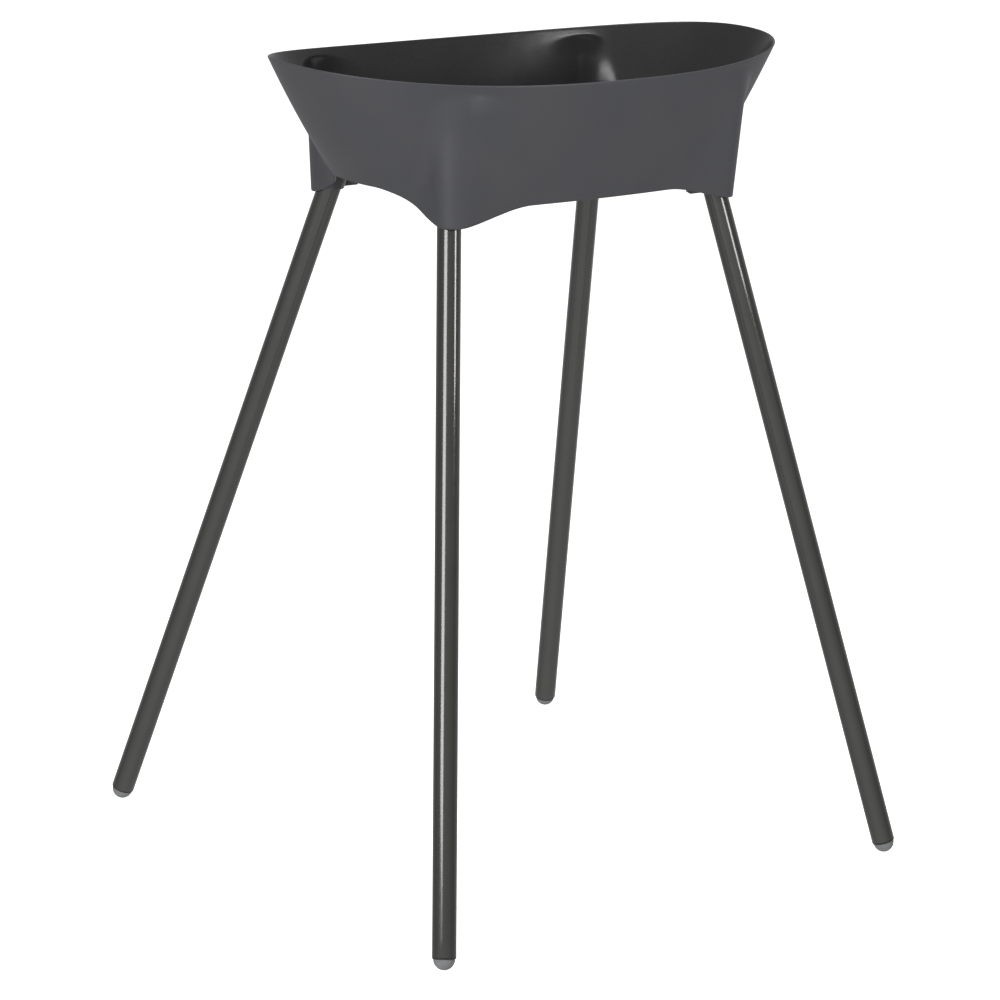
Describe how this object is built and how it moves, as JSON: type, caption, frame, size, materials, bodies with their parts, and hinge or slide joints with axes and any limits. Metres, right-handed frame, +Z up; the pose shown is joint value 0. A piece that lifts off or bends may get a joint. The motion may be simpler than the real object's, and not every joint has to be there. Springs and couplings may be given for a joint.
{
  "type": "bath stand",
  "caption": "Standing frame for a baby bath: an open, flared oval collar carried on splayed steel tube legs that plug into its corners, with rubber ball feet.",
  "frame": {"origin": "on the floor, midway between the four feet", "axes": "+X along the collar's long axis, +Y to the back, +Z up"},
  "size_m": [0.7146, 0.696, 0.9825],
  "materials": {
    "collar_plastic": "fine-textured satin moulding, charcoal",
    "leg_coat": "satin powder coat, dark grey",
    "insert_plastic": "smooth moulded, near black",
    "spring_steel": "bare spring steel",
    "foot_rubber": "matte light grey rubber"
  },
  "bodies": {
    "collar": {"collar": "collar_plastic"},
    "front_left_leg": {"front_left_tube": "leg_coat", "front_left_top_plug": "insert_plastic", "front_left_snap_clip": "spring_steel", "front_left_foot_cap": "insert_plastic", "front_left_foot_pad": "foot_rubber"},
    "front_right_leg": {"front_right_tube": "leg_coat", "front_right_top_plug": "insert_plastic", "front_right_snap_clip": "spring_steel", "front_right_foot_cap": "insert_plastic", "front_right_foot_pad": "foot_rubber"},
    "back_left_leg": {"back_left_tube": "leg_coat", "back_left_top_plug": "insert_plastic", "back_left_snap_clip": "spring_steel", "back_left_foot_cap": "insert_plastic", "back_left_foot_pad": "foot_rubber"},
    "back_right_leg": {"back_right_tube": "leg_coat", "back_right_top_plug": "insert_plastic", "back_right_snap_clip": "spring_steel", "back_right_foot_cap": "insert_plastic", "back_right_foot_pad": "foot_rubber"}
  },
  "joints": [
    {"name": "front_left_leg_pull", "type": "slide", "parent": "collar", "child": "front_left_leg", "axis": [-0.1693, -0.2601, -0.9506], "range_m": [0, 0.11], "deforming": ["front_left_snap_clip"]},
    {"name": "front_right_leg_pull", "type": "slide", "parent": "collar", "child": "front_right_leg", "axis": [0.1693, -0.2601, -0.9506], "range_m": [0, 0.11], "deforming": ["front_right_snap_clip"]},
    {"name": "back_left_leg_pull", "type": "slide", "parent": "collar", "child": "back_left_leg", "axis": [-0.1693, 0.2601, -0.9506], "range_m": [0, 0.11], "deforming": ["back_left_snap_clip"]},
    {"name": "back_right_leg_pull", "type": "slide", "parent": "collar", "child": "back_right_leg", "axis": [0.1693, 0.2601, -0.9506], "range_m": [0, 0.11], "deforming": ["back_right_snap_clip"]}
  ]
}
